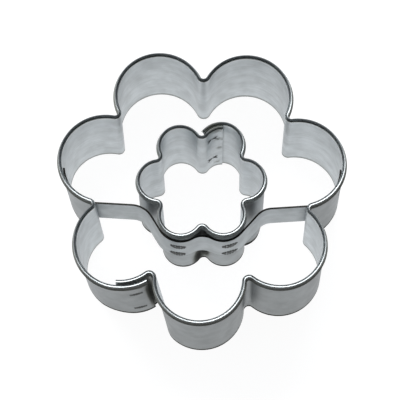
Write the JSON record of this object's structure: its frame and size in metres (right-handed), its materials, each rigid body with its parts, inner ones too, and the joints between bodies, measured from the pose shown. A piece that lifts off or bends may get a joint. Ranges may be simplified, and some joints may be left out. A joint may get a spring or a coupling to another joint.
{
  "type": "cookie cutter",
  "caption": "Linzer biscuit cutter: a flower inside a larger flower, bent from hemmed tinplate strip and tied by a spot-welded bridge.",
  "frame": {"origin": "on the plane of the cutting edge, under the middle of the outer flower's bounding box", "axes": "+Z from the cutting edge to the hemmed rim, -Y towards the single petal that stands on the flower's axis and towards the bridge, +X to the right seen from -Y with the rim up"},
  "size_m": [0.0496, 0.049, 0.0181],
  "materials": {
    "tinplate": "satin tinplate, fine rolling grain along the strip",
    "weld_metal": "dull grey where the tin has burnt off"
  },
  "bodies": {
    "root": {"outer_flower_band": "tinplate", "inner_flower_band": "tinplate", "bridge_strip": "tinplate", "outer_seam_welds": "weld_metal", "inner_seam_welds": "weld_metal", "bridge_left_petal_welds": "weld_metal", "bridge_right_petal_welds": "weld_metal", "bridge_left_tab_welds": "weld_metal", "bridge_right_tab_welds": "weld_metal"}
  },
  "joints": []
}
